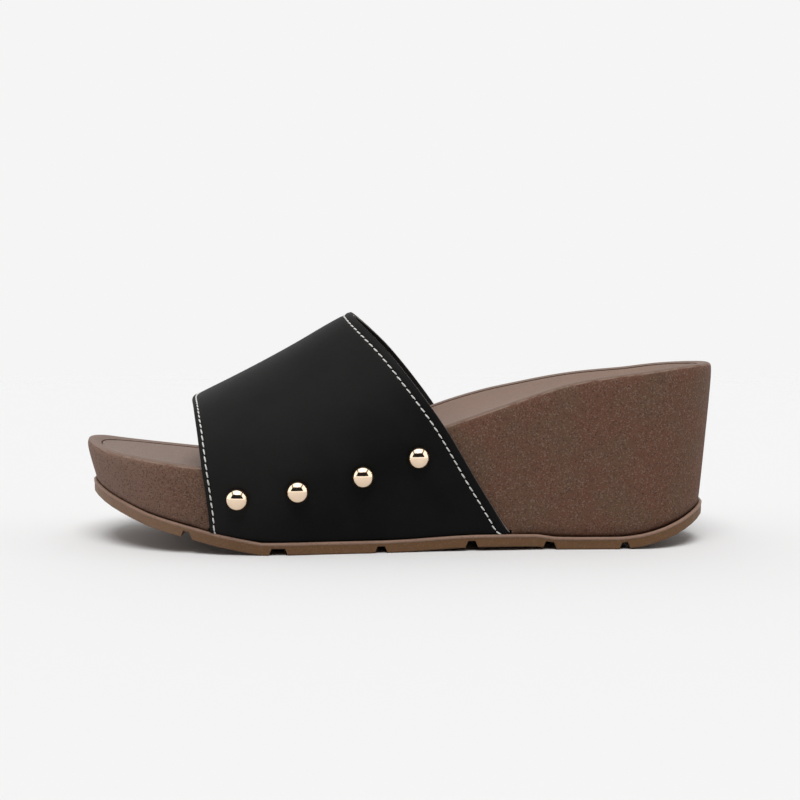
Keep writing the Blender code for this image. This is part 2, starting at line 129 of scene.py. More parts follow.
def length(name, text, default, low=0.0):
    """A size property in metres."""
    return FloatProperty(name=name, description=text, default=default, min=low, unit="LENGTH", precision=5)


def share(name, text, default, high=1.0):
    """A number from 0 up."""
    return FloatProperty(name=name, description=text, default=default, min=0.0, max=high)


def angle(name, text, default):
    """An angle, given in degrees."""
    return FloatProperty(name=name, description=text, default=math.radians(default), subtype="ANGLE")


def colour(name, text, default):
    """A plain colour."""
    return FloatVectorProperty(
        name=name, description=text, default=default, size=3, min=0.0, max=1.0, subtype="COLOR"
    )


class SoleSettings(bpy.types.PropertyGroup):
    foam: colour("Foam", "Main colour of the wedge's foam", (0.126, 0.057, 0.035))
    foam_light: colour("Light grains", "Pale grains in the foam", (0.20, 0.135, 0.105))
    # A painted highlight: the pale line along the foam's rounded rim stands in for the light that catches
    # the rounding.
    foam_rim_highlight: colour("Painted rim highlight", "Pale rubbed line along the foam's rim", (0.29, 0.205, 0.165))
    foam_toe: colour("Foam toe", "Colour of the foam at the toe", (0.215, 0.135, 0.103))
    foam_dark: colour("Dark grains", "Dark grains and pits in the foam", (0.052, 0.028, 0.020))
    foam_shade: colour("Foam shade", "Slow drift of the foam's colour", (0.111, 0.067, 0.041))
    foot: length("Wedge foot", "How far the foam is pressed into the outsole", 1.0 * MM)
    grain_size: length("Foam grain", "Size of one grain of the foam", 0.45 * MM)
    cover: colour("Insole", "Main colour of the insole", (0.225, 0.151, 0.118))
    cover_toe: colour("Insole toe", "Colour of the insole towards the toe", (0.192, 0.140, 0.114))
    cover_light: colour("Insole nap", "Pale nap of the insole", (0.33, 0.235, 0.195))
    cover_dark: colour("Insole shade", "Dark flecks of the insole", (0.19, 0.125, 0.098))
    cover_edge: length("Insole edge", "Rounding of the insole's upper edge", 0.7 * MM)
    rubber: colour("Rubber", "Main colour of the outsole", (0.126, 0.060, 0.021))
    rubber_light: colour("Rubber bloom", "Pale bloom on the rubber", (0.215, 0.128, 0.082))
    # The bead's pale colour is a painted highlight along the outsole's upper edge.
    bead: colour("Bead", "Colour of the bead along the outsole's upper edge", (0.245, 0.15, 0.105))
    # This dark colour serves real dark flecks and also painted shade in the fine tread's lines.
    rubber_dark: colour("Rubber shade", "Dark flecks and lines of the rubber", (0.075, 0.038, 0.020))
    bead_height: length("Bead height", "Height of the bead along the outsole's upper edge", 1.5 * MM)
    bead_inset: FloatVectorProperty(
        name="Bead inset", description="Size of the bead's line against the edge", default=(0.996, 0.986, 1)
    )
    edge_round: length("Outsole edge", "Rounding of the outsole's edges", 0.35 * MM)
    tread_pitch: length("Tread pitch", "Distance between the fine lines of the tread", 4.2 * MM, MM)
    tread_width: length("Tread line", "Width of a fine line of the tread", 1.1 * MM)


class StrapSettings(bpy.types.PropertyGroup):
    leather: colour("Leather", "Colour of the strap", (0.0060, 0.0060, 0.0061))
    # This paler colour serves random patches of tone and also a painted sheen on the strap's upper part,
    # where light from above falls.
    leather_tone_and_sheen: colour("Leather tone", "Paler tone, where hands polish it", (0.0145, 0.0143, 0.0141))
    leather_wall: length("Leather wall", "Thickness of the outer leather", 1.2 * MM)
    grain: length("Grain", "Size of the leather's grain", 0.8 * MM)
    lining: colour("Lining", "Colour of the lining", (0.016, 0.015, 0.015))
    lining_wall: length("Lining wall", "Thickness of the lining", 0.7 * MM)
    lining_reach: length("Lining reach", "How far the lining stands out of the leather's edge", 0.35 * MM)
    cut_edge: colour("Cut edge", "Colour of the lining's cut edge", (0.21, 0.185, 0.165))
    cut_edge_dark: colour("Cut edge shade", "Dark fibres of the lining's cut edge", (0.10, 0.085, 0.075))
    trough: length("Seam trough", "How deep the stitches pull the leather in", 0.28 * MM)
    trough_width: length("Trough width", "Half width of the trough along the stitches", 0.75 * MM)
    roll: length("Edge roll", "How far the folded edge stands up", 0.22 * MM)
    dimple: length("Stud dimple", "How deep a stud pulls the leather in", 0.3 * MM)
    dimple_width: length("Dimple width", "Half width of the dimple round a stud", 6.5 * MM)
    tuck: length("Tuck", "How far the strap goes in over the outsole", 4 * MM)


class StitchSettings(bpy.types.PropertyGroup):
    thread: colour("Thread", "Colour of the thread", (0.78, 0.77, 0.74))
    # Painted shade between the thread's plies.
    thread_ply_shade: colour("Thread shade", "Colour between the thread's plies", (0.50, 0.49, 0.46))
    front_inset: length("Front row", "Distance of the stitches from the front edge", 2.2 * MM)
    back_inset: length("Back row", "Distance of the stitches from the back edge", 3.7 * MM)
    pitch: length("Pitch", "Distance from one stitch to the next", 3.1 * MM, MM)
    stitch: length("Stitch", "Length of one stitch", 2.55 * MM)
    thickness: length("Thickness", "Thickness of the thread", 0.62 * MM)
    slant: share("Slant", "How far a stitch turns from its row, in radians", 0.12)


class StudSettings(bpy.types.PropertyGroup):
    metal: colour("Metal", "Colour of the studs", (0.86, 0.66, 0.47))
    metal_light: colour("Metal tone", "Paler tone of the studs", (0.92, 0.74, 0.56))
    radius: length("Radius", "Radius of a stud's head", 4.5 * MM)
    dome: length("Dome", "Height of a stud's head", 3.6 * MM)
    seat: length("Seat", "How far the head goes down to the leather", 0.4 * MM)
    steps: IntProperty(name="Steps", description="Sides of a stud's head", default=64, min=16)


class StageSettings(bpy.types.PropertyGroup):
    floor: colour("Floor", "Colour of the floor", (0.73, 0.73, 0.73))
    backdrop: colour("Backdrop", "Colour behind the shoe", (0.913, 0.913, 0.913))
    floor_radius: length("Floor radius", "Radius of the floor", 1.6)
    camera_side: length("Camera side", "Camera's place along the shoe", 1.1 * MM)
    camera_away: length("Camera distance", "Camera's distance from the shoe's middle", 560 * MM)
    camera_height: length("Camera height", "Camera's height above the floor", 99.5 * MM)
    camera_dip: angle("Camera dip", "Camera's angle below the horizon", 4.268)
    focal: FloatProperty(name="Focal length", description="Focal length in mm", default=60.3, min=1)
    sensor: FloatProperty(name="Sensor", description="Width of the sensor in mm", default=36, min=1)
    tent: colour("Tent", "Colour of the tent's cloth", (1.0, 1.0, 1.0))
    ground: colour("Ground", "Colour of the light from below", (0.85, 0.85, 0.85))
    opening: colour("Opening", "Colour of the tent's opening", (0.01, 0.01, 0.01))
    tent_light: share("Tent light", "Strength of the light tent", 0.77, 10.0)
    gleam: share("Gleam", "Light that the tent adds in reflections", 0.75, 10.0)
    top_light: share("Top light", "Strength of the light from above", 2.2, 10.0)
    top_tilt: angle("Top tilt", "How far the light from above leans to the camera", 24)
    top_spread: angle("Top spread", "How wide the light from above looks", 36)


def only(piece):
    """Selects one object and makes it active, in object mode."""
    if bpy.context.mode != "OBJECT":
        bpy.ops.object.mode_set(mode="OBJECT")
    bpy.ops.object.select_all(action="DESELECT")
    piece.select_set(True)
    bpy.context.view_layer.objects.active = piece


def edit(piece, kind="FACE"):
    """Opens a piece for editing with all of it selected."""
    only(piece)
    bpy.ops.object.mode_set(mode="EDIT")
    bpy.ops.mesh.select_mode(type=kind)
    bpy.ops.mesh.select_all(action="SELECT")


def close():
    """Goes back to object mode."""
    bpy.ops.object.mode_set(mode="OBJECT")


def choose(piece, kind, test):
    """Selects just the faces or edges that pass a test of their place or normal."""
    bpy.ops.mesh.select_mode(type=kind)
    bpy.ops.mesh.select_all(action="DESELECT")
    mesh = bmesh.from_edit_mesh(piece.data)
    mesh.normal_update()
    for part in mesh.faces if kind == "FACE" else mesh.edges:
        if test(part):
            part.select_set(True)
    mesh.select_flush_mode()
    bmesh.update_edit_mesh(piece.data)


def choose_sharp(piece):
    """Opens a piece for editing with just its sharp edges selected."""
    edit(piece, "EDGE")
    bpy.ops.mesh.select_all(action="DESELECT")
    bpy.ops.mesh.edges_select_sharp(sharpness=SHARP)


def modify(piece, name, kind, **values):
    """Adds a modifier, sets it and applies it."""
    only(piece)
    made = piece.modifiers.new(name, kind)
    for key, value in values.items():
        setattr(made, key, value)
    bpy.ops.object.modifier_apply(modifier=made.name)


def soften(piece):
    """Rounds a piece by subdividing its surface."""
    modify(piece, "softened", "SUBSURF", levels=SOFT_LEVELS, render_levels=SOFT_LEVELS)


def smooth(piece, bend=None):
    """Shades a piece smooth, with sharp edges past a bend where one is given."""
    only(piece)
    if bend:
        bpy.ops.object.shade_smooth_by_angle(angle=bend)
    else:
        bpy.ops.object.shade_smooth()


def copy_of(node, name):
    """A merged copy of a node's mesh, in quads where it can be."""
    piece = bpy.data.objects.new(name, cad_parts[node].data.copy())
    bpy.context.scene.collection.objects.link(piece)
    piece.data.materials.clear()
    only(piece)
    if piece.data.has_custom_normals:
        bpy.ops.mesh.customdata_custom_splitnormals_clear()
    edit(piece)
    bpy.ops.mesh.remove_doubles(threshold=MERGE)
    bpy.ops.mesh.tris_convert_to_quads(face_threshold=QUAD_BEND, shape_threshold=QUAD_SHAPE)
    close()
    return piece


def placed_copy(piece, name, place):
    """A copy with its own mesh, whose place goes into the mesh."""
    made = bpy.data.objects.new(name, piece.data.copy())
    made.data.transform(place)
    bpy.context.scene.collection.objects.link(made)
    return made


def dress(piece, finish, nodes=()):
    """Gives a piece its body, hides the nodes that it stands for and, where given, sets its material."""
    if finish:
        piece.data.materials.clear()
        piece.data.materials.append(finish)
    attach(piece, "root")
    if nodes:
        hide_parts(*nodes)


def surface(piece):
    """Finds places on a piece's faces."""
    mesh = bmesh.new()
    mesh.from_mesh(piece.data)
    tree = BVHTree.FromBMesh(mesh)
    mesh.free()
    return tree


def strap_axis():
    """A point inside the wedge that the strap goes round, across the shoe."""
    low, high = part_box("strap_upper")
    return Vector((0, (low.y + high.y) / 2, low.z + (high.z - low.z) * AXIS_HEIGHT))


STRAP_AXIS = strap_axis()


def away_from_foot(face):
    """How squarely a face of the strap looks away from the foot."""
    outward = Vector((0, *(face.calc_center_median() - STRAP_AXIS).yz)).normalized()
    return outward.dot(face.normal)


def turn_round(point):
    """Angle of a point round the strap's axis, from the outer side's sole to the inner side's."""
    return (math.atan2(point.z - STRAP_AXIS.z, STRAP_AXIS.y - point.y) + ROUND_START) % math.tau


def smooth_line(points, step):
    """Points at even steps on a smooth curve through a line of points."""
    line = []
    for k in range(len(points) - 1):
        before = points[max(k - 1, 0)]
        a, b = points[k], points[k + 1]
        after = points[min(k + 2, len(points) - 1)]
        count = max(2, int((b - a).length / step * 2))
        for i in range(count):
            t = i / count
            line.append(
                0.5
                * (
                    2 * a
                    + (b - before) * t
                    + (2 * before - 5 * a + 4 * b - after) * t**2
                    + (3 * a - before - 3 * b + after) * t**3
                )
            )
    line.append(points[-1])
    even, left = [line[0]], step
    for a, b in zip(line, line[1:]):
        gap = (b - a).length
        done = 0.0
        while gap - done >= left:
            done += left
            even.append(a.lerp(b, done / gap))
            left = step
        left -= gap - done
    return even


class MULE_OT_stage(bpy.types.Operator):
    """Makes the floor, the light tent and the camera"""

    bl_idname = "mule.stage"
    bl_label = "Studio"
    bl_options = {"REGISTER", "UNDO"}

    def execute(self, context):
        settings = context.scene.mule_stage
        bpy.ops.object.select_all(action="DESELECT")
        radius = settings.floor_radius
        bpy.ops.mesh.primitive_circle_add(vertices=FLOOR_SIDES, radius=radius, fill_type="NGON")
        floor = context.object
        floor.name = "floor"
        floor.data.materials.append(floor_finish(settings))
        bpy.ops.object.camera_add(
            location=(settings.camera_side, -settings.camera_away, settings.camera_height),
            rotation=(math.pi / 2 - settings.camera_dip, 0, 0),
        )
        camera = context.object
        camera.name = "camera"
        camera.data.lens = settings.focal
        camera.data.sensor_width = settings.sensor
        camera.data.clip_start = 10 * MM
        context.scene.camera = camera
        bpy.ops.object.light_add(type="SUN", rotation=(settings.top_tilt, 0, 0))
        sun = context.object
        sun.name = "top_light"
        sun.data.energy = settings.top_light
        sun.data.angle = settings.top_spread
        light_tent(context.scene, settings)
        context.scene.view_settings.view_transform = "Standard"
        return {"FINISHED"}


class MULE_OT_wedge(bpy.types.Operator):
    """Makes the foam wedge with its rounded rim"""

    bl_idname = "mule.wedge"
    bl_label = "Wedge"
    bl_options = {"REGISTER", "UNDO"}

    def execute(self, context):
        settings = context.scene.mule_sole
        wedge = copy_of("wedge_midsole", "wedge_foam")
        choose_sharp(wedge)
        bpy.ops.transform.edge_crease(value=1.0)
        choose(wedge, "FACE", lambda face: face.normal.z < FACING_DOWN)
        bpy.ops.transform.translate(value=(0, 0, -settings.foot))
        close()
        soften(wedge)
        smooth(wedge, SHARP)
        dress(wedge, foam_finish(settings), ["wedge_midsole"])
        return {"FINISHED"}


class MULE_OT_insole(bpy.types.Operator):
    """Makes the dished insole with its soft edge"""

    bl_idname = "mule.insole"
    bl_label = "Insole"
    bl_options = {"REGISTER", "UNDO"}

    def execute(self, context):
        settings = context.scene.mule_sole
        insole = copy_of("insole", "insole_cover")
        choose_sharp(insole)
        bpy.ops.mesh.bevel(offset=settings.cover_edge, segments=2, affect="EDGES")
        close()
        soften(insole)
        smooth(insole)
        dress(insole, cover_finish(settings), ["insole"])
        return {"FINISHED"}


class MULE_OT_outsole(bpy.types.Operator):
    """Makes the rubber outsole with its bead"""

    bl_idname = "mule.outsole"
    bl_label = "Outsole"
    bl_options = {"REGISTER", "UNDO"}

    def execute(self, context):
        settings = context.scene.mule_sole
        outsole = copy_of("outsole", "outsole_rubber")
        edit(outsole, "EDGE")

        def upper_edge(edge):
            if len(edge.link_faces) != 2:
                return False
            low, high = sorted(face.normal.z for face in edge.link_faces)
            return high > FACING_UP and abs(low) < UPRIGHT and edge.calc_face_angle_signed() > RIM_TURN

        choose(outsole, "EDGE", upper_edge)
        bpy.ops.mesh.duplicate()
        bpy.ops.mesh.separate(type="SELECTED")
        close()
        bead = next(piece for piece in context.selected_objects if piece != outsole)
        bead.name = "outsole_bead"
        only(bead)
        bpy.ops.object.convert(target="CURVE")
        bead.data.bevel_depth = settings.bead_height / 2
        bead.data.bevel_resolution = 3
        bpy.ops.object.convert(target="MESH")
        edit(bead)
        bpy.ops.transform.resize(value=settings.bead_inset, center_override=(0, 0, 0))
        bpy.ops.transform.translate(value=(0, 0, settings.bead_height * BEAD_LIFT))
        bpy.ops.mesh.normals_make_consistent(inside=False)
        close()
        smooth(bead)
        dress(bead, bead_highlight_finish(settings))
        modify(
            outsole, "edges", "BEVEL", width=settings.edge_round, segments=2, limit_method="ANGLE",
            angle_limit=BEVEL_FROM, harden_normals=True, use_clamp_overlap=True,
        )
        dress(outsole, rubber_finish(settings), ["outsole"])
        return {"FINISHED"}


def mixed(keys, values, at):
    """The value at a place between sorted keys, where values are numbers or vectors."""
    k = min(max(bisect.bisect_right(keys, at) - 1, 0), len(keys) - 2)
    part = (at - keys[k]) / (keys[k + 1] - keys[k])
    return values[k] + (values[k + 1] - values[k]) * part


class StrapFrame:
    """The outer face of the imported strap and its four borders, and any place on it."""

    def __init__(self):
        skin = copy_of("strap_upper", "strap_guide")
        mesh = bmesh.new()
        mesh.from_mesh(skin.data)
        mesh.normal_update()
        outer = {face for face in mesh.faces if away_from_foot(face) > FACING_OUT}
        studs = [stud_place(node) for node in STUD_NODES]

        def beside_stud(point):
            gaps = [point - seat for seat, _ in studs]
            return any(
                abs(gap.dot(axis)) < STUD_REACH and (gap - axis * gap.dot(axis)).length < PIN_RIM
                for gap, (_, axis) in zip(gaps, studs)
            )

        def border(key, test):
            rim = {face for face in mesh.faces if face not in outer and test(face)}
            found = [
                v.co.copy()
                for v in mesh.verts
                if outer & set(v.link_faces) and rim & set(v.link_faces) and not beside_stud(v.co)
            ]
            return sorted(found, key=key)

        def lower(side):
            return lambda face: face.normal.z < FACING_DOWN and face.calc_center_median().y * side > 0

        def end(way):
            return lambda face: face.normal.x * way > FACING_END and abs(away_from_foot(face)) < FACING_OUT

        def outermost(point, found, side):
            near = [other for other in found if abs(point.x - other.x) < COLUMN_GAP]
            return all(point.y * side >= other.y * side for other in near)

        self.lower = {}
        for side in (OUTER, INNER):
            found = [p for p in border(lambda point: point.x, lower(side)) if p.z < LOW_EDGE]
            self.lower[side] = [p for p in found if outermost(p, found, side)]
        ends = {way: border(turn_round, end(way)) for way in (FRONT, BACK)}
        bmesh.ops.delete(mesh, geom=[face for face in mesh.faces if face not in outer], context="FACES")
        self.tree = BVHTree.FromBMesh(mesh)
        mesh.free()
        bpy.data.objects.remove(skin)
        self.ends = {}
        for way, points in ends.items():
            first, last = (min(self.lower[side], key=lambda p: p.x * -way) for side in (OUTER, INNER))
            if way == BACK:
                first, last = (p + Vector(CORNER_REACH) for p in (first, last))
            points = [p for p in points if END_SHARE < self.share_round(p) < 1 - END_SHARE]
            points = [first, *points, last]
            self.ends[way] = ([self.share_round(p) for p in points], points)

    def turns(self, x):
        """Angles round the axis at which the strap starts and ends, at a place along the shoe."""
        found = []
        for side in (OUTER, INNER):
            line = self.lower[side]
            found.append(turn_round(mixed([p.x for p in line], line, x)))
        return found

    def share_round(self, point):
        """How far round the strap a point lies, from the outer side's sole (0) to the inner side's (1)."""
        start, end = self.turns(point.x)
        return (turn_round(point) - start) / (end - start)

    def place(self, along, share, near=None):
        """A place on the strap's outer face, along it from front (0) to back (1), and a share round it."""
        front, back = (mixed(*self.ends[way], share) for way in (FRONT, BACK))
        if along in (0, 1):
            return back if along else front
        x = front.x + (back.x - front.x) * along
        if share in (0, 1):
            line = self.lower[INNER if share else OUTER]
            return mixed([p.x for p in line], line, x)
        start, end = self.turns(x)
        turned = start + (end - start) * share - ROUND_START
        outward = Vector((0, -math.cos(turned), math.sin(turned)))
        centre = Vector((x, STRAP_AXIS.y, STRAP_AXIS.z))
        hit = self.tree.ray_cast(centre + outward * FAR, -outward, FAR)[0]
        if hit is None:
            radius = ((near or front).yz - centre.yz).length
            hit = self.tree.find_nearest(centre + outward * radius)[0]
        return hit


def strap_sheet(name, guide, setback=0.0):
    """The outer face of the strap as an open sheet of quads, with more columns near its edges."""
    count = len(FRONT_COLUMNS) + MIDDLE_COLUMNS + len(BACK_COLUMNS)
    bpy.ops.object.select_all(action="DESELECT")
    bpy.ops.mesh.primitive_grid_add(x_subdivisions=count - 1, y_subdivisions=STRAP_ROWS, size=1)
    sheet = bpy.context.object
    sheet.name = name
    for row in range(STRAP_ROWS + 1):
        share = row / STRAP_ROWS
        width = (guide.place(1, share) - guide.place(0, share)).length
        columns = [(d * MM + setback) / width for d in FRONT_COLUMNS]
        rest = [1 - (d * MM + setback) / width for d in reversed(BACK_COLUMNS)]
        step = (rest[0] - columns[-1]) / (MIDDLE_COLUMNS + 1)
        columns += [columns[-1] + step * (k + 1) for k in range(MIDDLE_COLUMNS)] + rest
        point = None
        for k, along in enumerate(columns):
            point = guide.place(along, share, point)
            if share in (0, 1):
                point = point - Vector((0, 0, FOOT_DROP))
            sheet.data.vertices[row * count + k].co = point
    edit(sheet)
    bpy.ops.mesh.normals_make_consistent(inside=False)
    close()
    if max(sheet.data.polygons, key=lambda face: face.center.z).normal.z < 0:
        edit(sheet)
        bpy.ops.mesh.flip_normals()
        close()
    return sheet


def stud_place(node):
    """Where a stud's head sits and where it looks."""
    points = np.array([v.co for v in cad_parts[node].data.vertices])
    points = np.unique(np.round(points, 6), axis=0)
    middle = points.mean(0)
    axis = Vector(np.linalg.svd(points - middle)[2][0])
    side = OUTER if "lateral" in node else INNER
    if axis.y * side < 0:
        axis.negate()
    top = max(Vector(p).dot(axis) for p in points)
    centre = Vector(middle)
    apex = centre + axis * (top - centre.dot(axis))
    return apex - axis * bpy.context.scene.mule_stud.dome, axis


class MULE_OT_strap(bpy.types.Operator):
    """Makes the strap's folded leather and its lining"""

    bl_idname = "mule.strap"
    bl_label = "Strap"
    bl_options = {"REGISTER", "UNDO"}

    def execute(self, context):
        settings = context.scene.mule_strap
        guide = StrapFrame()
        leather = strap_sheet("strap_leather", guide, settings.lining_reach)
        tuck_in(leather, settings.tuck)
        wall = {"offset": -1, "use_even_offset": True}
        modify(leather, "wall", "SOLIDIFY", thickness=settings.leather_wall, **wall)
        soften(leather)
        relief(leather, guide, settings, context.scene.mule_stitch)
        smooth(leather)
        dress(leather, leather_finish(settings), ["strap_upper"])
        lining = strap_sheet("strap_lining", guide)
        lining.data.materials.append(lining_finish(settings))
        lining.data.materials.append(cut_edge_finish(settings))
        tuck_in(lining, settings.tuck)
        edit(lining)
        bpy.ops.transform.shrink_fatten(value=-settings.leather_wall - LINING_GAP)
        close()
        modify(lining, "wall", "SOLIDIFY", thickness=settings.lining_wall, material_offset_rim=1, **wall)
        soften(lining)
        smooth(lining)
        dress(lining, None)
        return {"FINISHED"}


def bump_at(distance, centre, half_width):
    """A soft bump of height 1 round a distance."""
    return math.exp(-(((distance - centre) / half_width) ** 2))


def relief(leather, guide, settings, stitch):
    """Sinks the seams and the leather round the studs, and rolls the folded edges up."""
    edges = []
    for way, inset in ((FRONT, stitch.front_inset), (BACK, stitch.back_inset)):
        line = smooth_line(guide.ends[way][1], MM / 2)
        tree = KDTree(len(line))
        for k, point in enumerate(line):
            tree.insert(point, k)
        tree.balance()
        edges.append((tree, inset - settings.lining_reach))
    studs = [stud_place(node) for node in STUD_NODES]
    depths = {"trough": -settings.trough, "roll": settings.roll, "dimple": -settings.dimple}
    groups = {name: leather.vertex_groups.new(name=name) for name in depths}
    for vertex in leather.data.vertices:
        if guide.tree.find_nearest(vertex.co)[3] > settings.leather_wall / 2:
            continue
        weights = dict.fromkeys(depths, 0.0)
        for tree, inset in edges:
            distance = tree.find(vertex.co)[2] - settings.lining_reach
            weights["trough"] += bump_at(distance, inset, settings.trough_width)
            weights["roll"] += bump_at(distance, inset * ROLL_PLACE, inset * ROLL_WIDTH)
        for seat, _ in studs:
            weights["dimple"] += bump_at((vertex.co - seat).length, 0, settings.dimple_width)
        for name, weight in weights.items():
            if weight > FAINT:
                groups[name].add([vertex.index], min(weight, 1.0), "REPLACE")
    along_normal = {"mid_level": 0, "direction": "NORMAL"}
    for name, depth in depths.items():
        modify(leather, name, "DISPLACE", vertex_group=name, strength=depth, **along_normal)


def tuck_in(sheet, reach):
    """Turns the sheet's lower edges in over the outsole."""
    for side in (OUTER, INNER):
        edit(sheet, "EDGE")

        def lower(edge):
            a, b = (v.co for v in edge.verts)
            along = abs(a.x - b.x) > ALONG_EDGE * (a - b).length
            return edge.is_boundary and along and max(a.z, b.z) < LOW_EDGE and a.y * side > 0

        choose(sheet, "EDGE", lower)
        bpy.ops.mesh.extrude_edges_move(TRANSFORM_OT_translate={"value": (0, -side * reach, 0)})
        close()


class MULE_OT_stitches(bpy.types.Operator):
    """Sews the front and back edges of the strap"""

    bl_idname = "mule.stitches"
    bl_label = "Stitches"
    bl_options = {"REGISTER", "UNDO"}

    def execute(self, context):
        settings = context.scene.mule_stitch
        guide = StrapFrame()
        leather = surface(bpy.data.objects["strap_leather"])
        finish = thread_finish(settings)
        thread = thread_shape(settings)
        for way, inset in ((FRONT, settings.front_inset), (BACK, settings.back_inset)):
            row = seam_line(guide, way, inset, settings.pitch)
            name = "stitches_front" if way == FRONT else "stitches_back"
            made = []
            for k, at in enumerate(row):
                run = row[min(k + 1, len(row) - 1)] - row[max(k - 1, 0)]
                made.append(placed_copy(thread, name, stitch_place(at, run, settings.slant, leather)))
            only(made[0])
            for piece in made:
                piece.select_set(True)
            bpy.ops.object.join()
            smooth(made[0])
            dress(made[0], finish)
        bpy.data.objects.remove(thread)
        return {"FINISHED"}


def seam_line(guide, way, inset, pitch):
    """Points at even steps along a seam, a set distance in from the strap's front or back edge."""
    edge = smooth_line(guide.ends[way][1], SEAM_STEP)
    line = []
    for k, point in enumerate(edge):
        run = edge[min(k + 1, len(edge) - 1)] - edge[max(k - 1, 0)]
        _, normal, _, _ = guide.tree.find_nearest(point)
        inward = normal.cross(run).normalized()
        across = mixed(*guide.ends[-way], min(max(guide.share_round(point), 0), 1)) - point
        if inward.dot(across) < 0:
            inward.negate()
        line.append(guide.tree.find_nearest(point + inward * inset)[0])
    for end, after in ((0, 2), (-1, -3)):
        line[end] = line[end] + (line[end] - line[after]).normalized() * SEAM_REACH
    return smooth_line(line, pitch)


def thread_shape(settings):
    """One stitch at the origin, along X, whose ends go down."""
    bpy.ops.object.select_all(action="DESELECT")
    bpy.ops.mesh.primitive_uv_sphere_add(segments=THREAD_SIDES, ring_count=THREAD_RINGS, radius=0.5)
    thread = bpy.context.object
    for vertex in thread.data.vertices:
        x, y, z = vertex.co * 2
        along = math.copysign(abs(z) ** THREAD_BLUNTNESS, z)
        height = y / 2 - along**2 * THREAD_DIP + THREAD_LIFT
        vertex.co = along * settings.stitch / 2, x * settings.thickness / 2, height * settings.thickness
    return thread


def stitch_place(at, run, slant, leather):
    """Lays a stitch on the leather, a little turned from the run of its row."""
    place, normal, _, _ = leather.find_nearest(at)
    if normal.dot(Vector((0, *(place - STRAP_AXIS).yz))) < 0:
        normal.negate()
    run = Matrix.Rotation(slant, 3, normal) @ run.normalized()
    side = normal.cross(run).normalized()
    run = side.cross(normal).normalized()
    return Matrix.Translation(place) @ Matrix((run, side, normal)).transposed().to_4x4()


class MULE_OT_studs(bpy.types.Operator):
    """Makes the domed studs"""

    bl_idname = "mule.studs"
    bl_label = "Studs"
    bl_options = {"REGISTER", "UNDO"}

    def execute(self, context):
        settings = context.scene.mule_stud
        finish = metal_finish(settings)
        bpy.ops.object.select_all(action="DESELECT")
        bpy.ops.mesh.primitive_uv_sphere_add(
            segments=settings.steps, ring_count=settings.steps // 2, radius=settings.radius
        )
        head = context.object
        edit(head)
        bpy.ops.mesh.bisect(plane_co=(0, 0, 0), plane_no=(0, 0, 1), clear_inner=True)
        bpy.ops.mesh.select_all(action="SELECT")
        bpy.ops.transform.resize(value=(1, 1, settings.dome / settings.radius))
        choose(head, "EDGE", lambda edge: edge.is_boundary)
        bpy.ops.mesh.extrude_region_move(TRANSFORM_OT_translate={"value": (0, 0, -settings.seat)})
        bpy.ops.mesh.edge_face_add()
        close()
        for node in STUD_NODES:
            seat, facing = stud_place(node)
            turn = facing.to_track_quat("Z", "Y").to_matrix().to_4x4()
            stud = placed_copy(head, node.replace("stud", "dome"), Matrix.Translation(seat) @ turn)
            smooth(stud, SHARP)
            dress(stud, finish, [node])
        bpy.data.objects.remove(head)
        return {"FINISHED"}


NODES_IN_ROW = 8
NODE_GAP = 250


def material(name):
    """A new material, its node tree and its main shader."""
    made = bpy.data.materials.new(name)
    made.use_nodes = True
    return made, made.node_tree, made.node_tree.nodes["Principled BSDF"]


def feed(tree, socket, value):
    """Gives an input a plain value, or joins it to an output."""
    if isinstance(value, bpy.types.NodeSocket):
        tree.links.new(value, socket)
    else:
        socket.default_value = value


def fill(tree, node, **inputs):
    """Feeds a node's inputs by name, with _ for spaces."""
    for key, value in inputs.items():
        feed(tree, node.inputs[key.replace("_", " ")], value)


def add(tree, kind, settings=None, **inputs):
    """Adds a node beside the last one, with settings by attribute and inputs by name."""
    made = tree.nodes.new(kind)
    row, column = divmod(len(tree.nodes), NODES_IN_ROW)
    made.location = column * NODE_GAP, -row * NODE_GAP
    for key, value in (settings or {}).items():
        setattr(made, key, value)
    fill(tree, made, **inputs)
    return made


def step(tree, kind, operation, values):
    """Adds a node for one step of arithmetic."""
    made = add(tree, kind, {"operation": operation})
    for socket, value in zip(made.inputs, values):
        feed(tree, socket, value)
    return made.outputs


def sums(tree, operation, *values):
    """One step of arithmetic between outputs and plain numbers."""
    return step(tree, "ShaderNodeMath", operation, values)[0]


def vectors(tree, operation, *values):
    """One step of arithmetic between vectors."""
    return step(tree, "ShaderNodeVectorMath", operation, values)


def where(tree):
    """Where a point lies on the piece, in metres."""
    return add(tree, "ShaderNodeTexCoord").outputs["Object"]


def split(tree, vector):
    """The three parts of a vector."""
    return add(tree, "ShaderNodeSeparateXYZ", Vector=vector).outputs


def chances(tree, cells):
    """Three random numbers for each cell."""
    return add(tree, "ShaderNodeSeparateColor", Color=cells.outputs["Color"]).outputs


def tilt(tree, kind="Normal"):
    """How far a face looks up, from -1 to 1."""
    return split(tree, add(tree, "ShaderNodeNewGeometry").outputs[kind])[2]


def noise(tree, spot, scale, detail=3.0):
    """Soft random values from about 0 to 1."""
    return add(tree, "ShaderNodeTexNoise", Vector=spot, Scale=scale, Detail=detail).outputs[0]


def blend(tree, factor, first, second):
    """Mixes two colours."""
    made = add(tree, "ShaderNodeMix", {"data_type": "RGBA"})
    for k, value in ((0, factor), (6, first), (7, second)):
        feed(tree, made.inputs[k], value)
    return made.outputs[2]


def spread(tree, value, low, high, first, last, kind="LINEAR"):
    """Spreads the values between low and high from first to last."""
    made = add(
        tree, "ShaderNodeMapRange", {"interpolation_type": kind},
        Value=value, From_Min=low, From_Max=high, To_Min=first, To_Max=last,
    )
    return made.outputs[0]


def rise(tree, value, low, high, top=1.0):
    """Rises softly from 0 to a top value between two values."""
    return spread(tree, value, low, high, 0.0, top, "SMOOTHSTEP")


